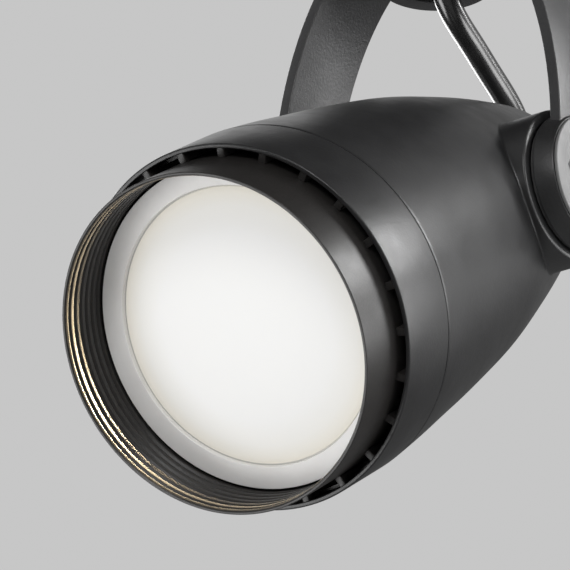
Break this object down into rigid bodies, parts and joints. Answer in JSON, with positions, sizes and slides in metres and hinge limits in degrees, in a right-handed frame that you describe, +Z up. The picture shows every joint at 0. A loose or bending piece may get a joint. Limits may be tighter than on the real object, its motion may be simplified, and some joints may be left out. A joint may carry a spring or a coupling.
{
  "type": "track spotlight",
  "caption": "Egg-shaped track spotlight with a ribbed glare snoot and frosted lens, held in a flat-bar yoke that tilts and pans under a track adapter.",
  "frame": {"origin": "on the pan axis, in the plane of the adapter cover's top face, which seats against the track", "axes": "+Z up out of the lamp into the track, +X along the tilt axis to the lamp's right, -Y the way the lamp head faces"},
  "size_m": [0.1042, 0.1914, 0.2503],
  "materials": {
    "black_powder_coat": "satin powder coat",
    "black_anodised": "matt anodised",
    "white_retainer_plastic": "satin",
    "frosted_lens": "frosted",
    "brushed_aluminium": "satin",
    "zinc_steel": "zinc plated",
    "blackened_steel": "black oxide",
    "black_rubber": "matt",
    "flex_sheath": "gloss",
    "silicone_gasket": "matt",
    "bright_reflector": "bright",
    "led_phosphor": "matt",
    "led_board_white": "matt",
    "thermal_pad_grey": "matt",
    "black_nylon": "matt",
    "terminal_nylon": "matt",
    "circuit_board": "satin",
    "contact_copper": "bright",
    "coil_tape_yellow": "satin",
    "capacitor_sleeve": "gloss"
  },
  "bodies": {
    "track_adapter": {"adapter_box": "black_powder_coat", "adapter_cover": "black_powder_coat", "swivel_washer": "black_nylon", "driver_board": "circuit_board", "driver_coil": "coil_tape_yellow", "driver_capacitor": "capacitor_sleeve", "driver_terminal": "terminal_nylon"},
    "track_lock": {"lock_lever": "black_anodised", "lock_cam": "zinc_steel"},
    "track_contacts": {"contact_lever": "black_anodised", "contact_rotor": "black_nylon", "contact_blade_right": "contact_copper", "contact_blade_left": "contact_copper"},
    "yoke_frame": {"pivot_bolt_right": "blackened_steel", "pivot_bolt_left": "blackened_steel", "yoke": "black_powder_coat", "swivel_hub": "black_powder_coat", "swivel_tube": "zinc_steel", "swivel_nut": "zinc_steel", "retaining_nut": "zinc_steel", "pivot_disc_right": "brushed_aluminium", "pivot_disc_left": "brushed_aluminium", "supply_flex": "flex_sheath"},
    "lamp_head": {"rear_housing": "black_powder_coat", "front_collar": "black_powder_coat", "vent_spacer": "black_anodised", "snoot_tube": "black_anodised", "lens_retainer": "white_retainer_plastic", "diffuser_lens": "frosted_lens", "lens_gasket": "silicone_gasket", "reflector": "bright_reflector", "led_emitter": "led_phosphor", "led_board": "led_board_white", "thermal_pad": "thermal_pad_grey", "led_holder": "terminal_nylon", "mounting_plate": "brushed_aluminium", "heat_sink": "brushed_aluminium", "plate_screw_1": "zinc_steel", "plate_screw_2": "zinc_steel", "terminal_plate": "brushed_aluminium", "head_terminal": "terminal_nylon", "friction_washer_right": "black_nylon", "friction_washer_left": "black_nylon", "flex_boot": "black_rubber"}
  },
  "joints": [
    {"name": "pan", "type": "hinge", "parent": "track_adapter", "child": "yoke_frame", "pos_m": [0, 0, -0.03], "axis": [0, 0, 1], "range_deg": [-175, 175]},
    {"name": "tilt", "type": "hinge", "parent": "yoke_frame", "child": "lamp_head", "pos_m": [0, 0, -0.13], "axis": [1, 0, 0], "range_deg": [-34, 24], "deforming": ["supply_flex"]},
    {"name": "lock_turn", "type": "hinge", "parent": "track_adapter", "child": "track_lock", "pos_m": [0, 0.053, 0], "axis": [0, 0, 1], "range_deg": [-90, 0]},
    {"name": "contact_turn", "type": "hinge", "parent": "track_adapter", "child": "track_contacts", "pos_m": [0, -0.053, 0], "axis": [0, 0, 1], "range_deg": [0, 90]}
  ]
}
